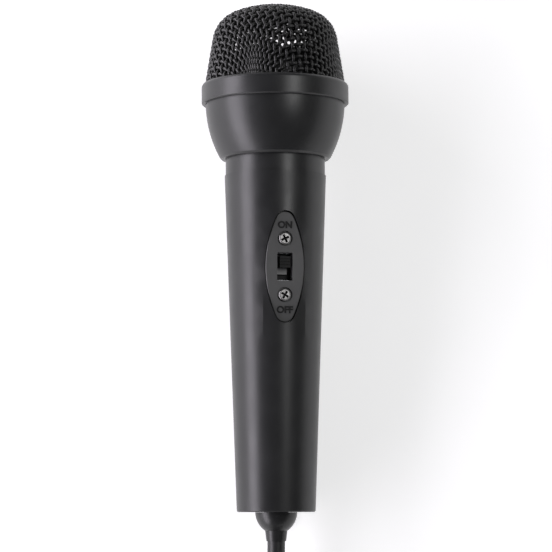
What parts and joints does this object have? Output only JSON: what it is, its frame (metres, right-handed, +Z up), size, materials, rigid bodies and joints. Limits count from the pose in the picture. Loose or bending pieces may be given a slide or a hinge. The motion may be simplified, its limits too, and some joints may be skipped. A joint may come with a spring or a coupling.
{
  "type": "karaoke microphone",
  "caption": "Wired hand-held karaoke microphone with a woven wire grille, tapered handle, slide switch and a coiled lead with a jack plug.",
  "frame": {"origin": "on the floor, under the middle of the box of the microphone lying on its side, its lead not counted", "axes": "+Y towards the grille, +Z up out of the side with the switch, +X to the right seen from above; the microphone's own axis rises 4.9 degrees towards the grille"},
  "size_m": [0.0732, 0.329, 0.0509],
  "materials": {
    "body_plastic": "satin black moulded plastic",
    "plate_plastic": "fine matte black moulded plastic",
    "knob_plastic": "matte black moulded plastic",
    "screw_steel": "bright zinc-plated steel",
    "frame_steel": "plain pressed steel",
    "phenolic": "brown phenolic board",
    "terminal_brass": "tinned brass",
    "boot_rubber": "satin black moulded PVC",
    "cord_jacket": "satin black PVC jacket",
    "wire_insulation": "thin coloured PVC",
    "shock_rubber": "soft black rubber",
    "capsule_plastic": "black moulded plastic",
    "yoke_steel": "zinc-plated steel",
    "magnet_ferrite": "sintered magnet",
    "coil_copper": "enamelled copper wire",
    "film": "clear polyester film",
    "foam": "open-cell black foam",
    "grille_paint": "satin black paint on woven steel wire",
    "tie_plastic": "black hook-and-loop strap",
    "plug_plastic": "satin black moulded plastic",
    "plug_nickel": "nickel plate",
    "plug_ring": "black insulating ring"
  },
  "bodies": {
    "microphone": {"handle": "body_plastic", "switch_plate": "plate_plastic", "plate_screws": "screw_steel", "switch_frame": "frame_steel", "switch_base": "phenolic", "switch_terminals": "terminal_brass", "cord_boot": "boot_rubber", "cord_stub": "cord_jacket", "cord_clamp": "frame_steel", "cord_cores": "wire_insulation", "capsule_leads": "wire_insulation", "capsule_carrier": "body_plastic", "shock_ring": "shock_rubber", "capsule_basket": "capsule_plastic", "magnet_yoke": "yoke_steel", "magnet": "magnet_ferrite", "pole_plate": "yoke_steel", "voice_coil": "coil_copper", "diaphragm": "film", "capsule_cover": "capsule_plastic", "foam_disc": "foam", "capsule_terminals": "phenolic", "head_bowl": "body_plastic", "grille_ring": "body_plastic", "grille": "grille_paint", "cord": "cord_jacket", "cord_coil": "cord_jacket", "cord_end": "cord_jacket", "coil_tie": "tie_plastic", "plug_boot": "boot_rubber", "plug_body": "plug_plastic", "plug_sleeve": "plug_nickel", "plug_insulator": "plug_ring", "plug_tip": "plug_nickel"},
    "slider": {"switch_knob": "knob_plastic", "switch_contact": "terminal_brass"}
  },
  "joints": [
    {"name": "switch_slide", "type": "slide", "parent": "microphone", "child": "slider", "axis": [-0.0076, -0.9927, -0.1205], "range_m": [0, 0.0032]}
  ]
}
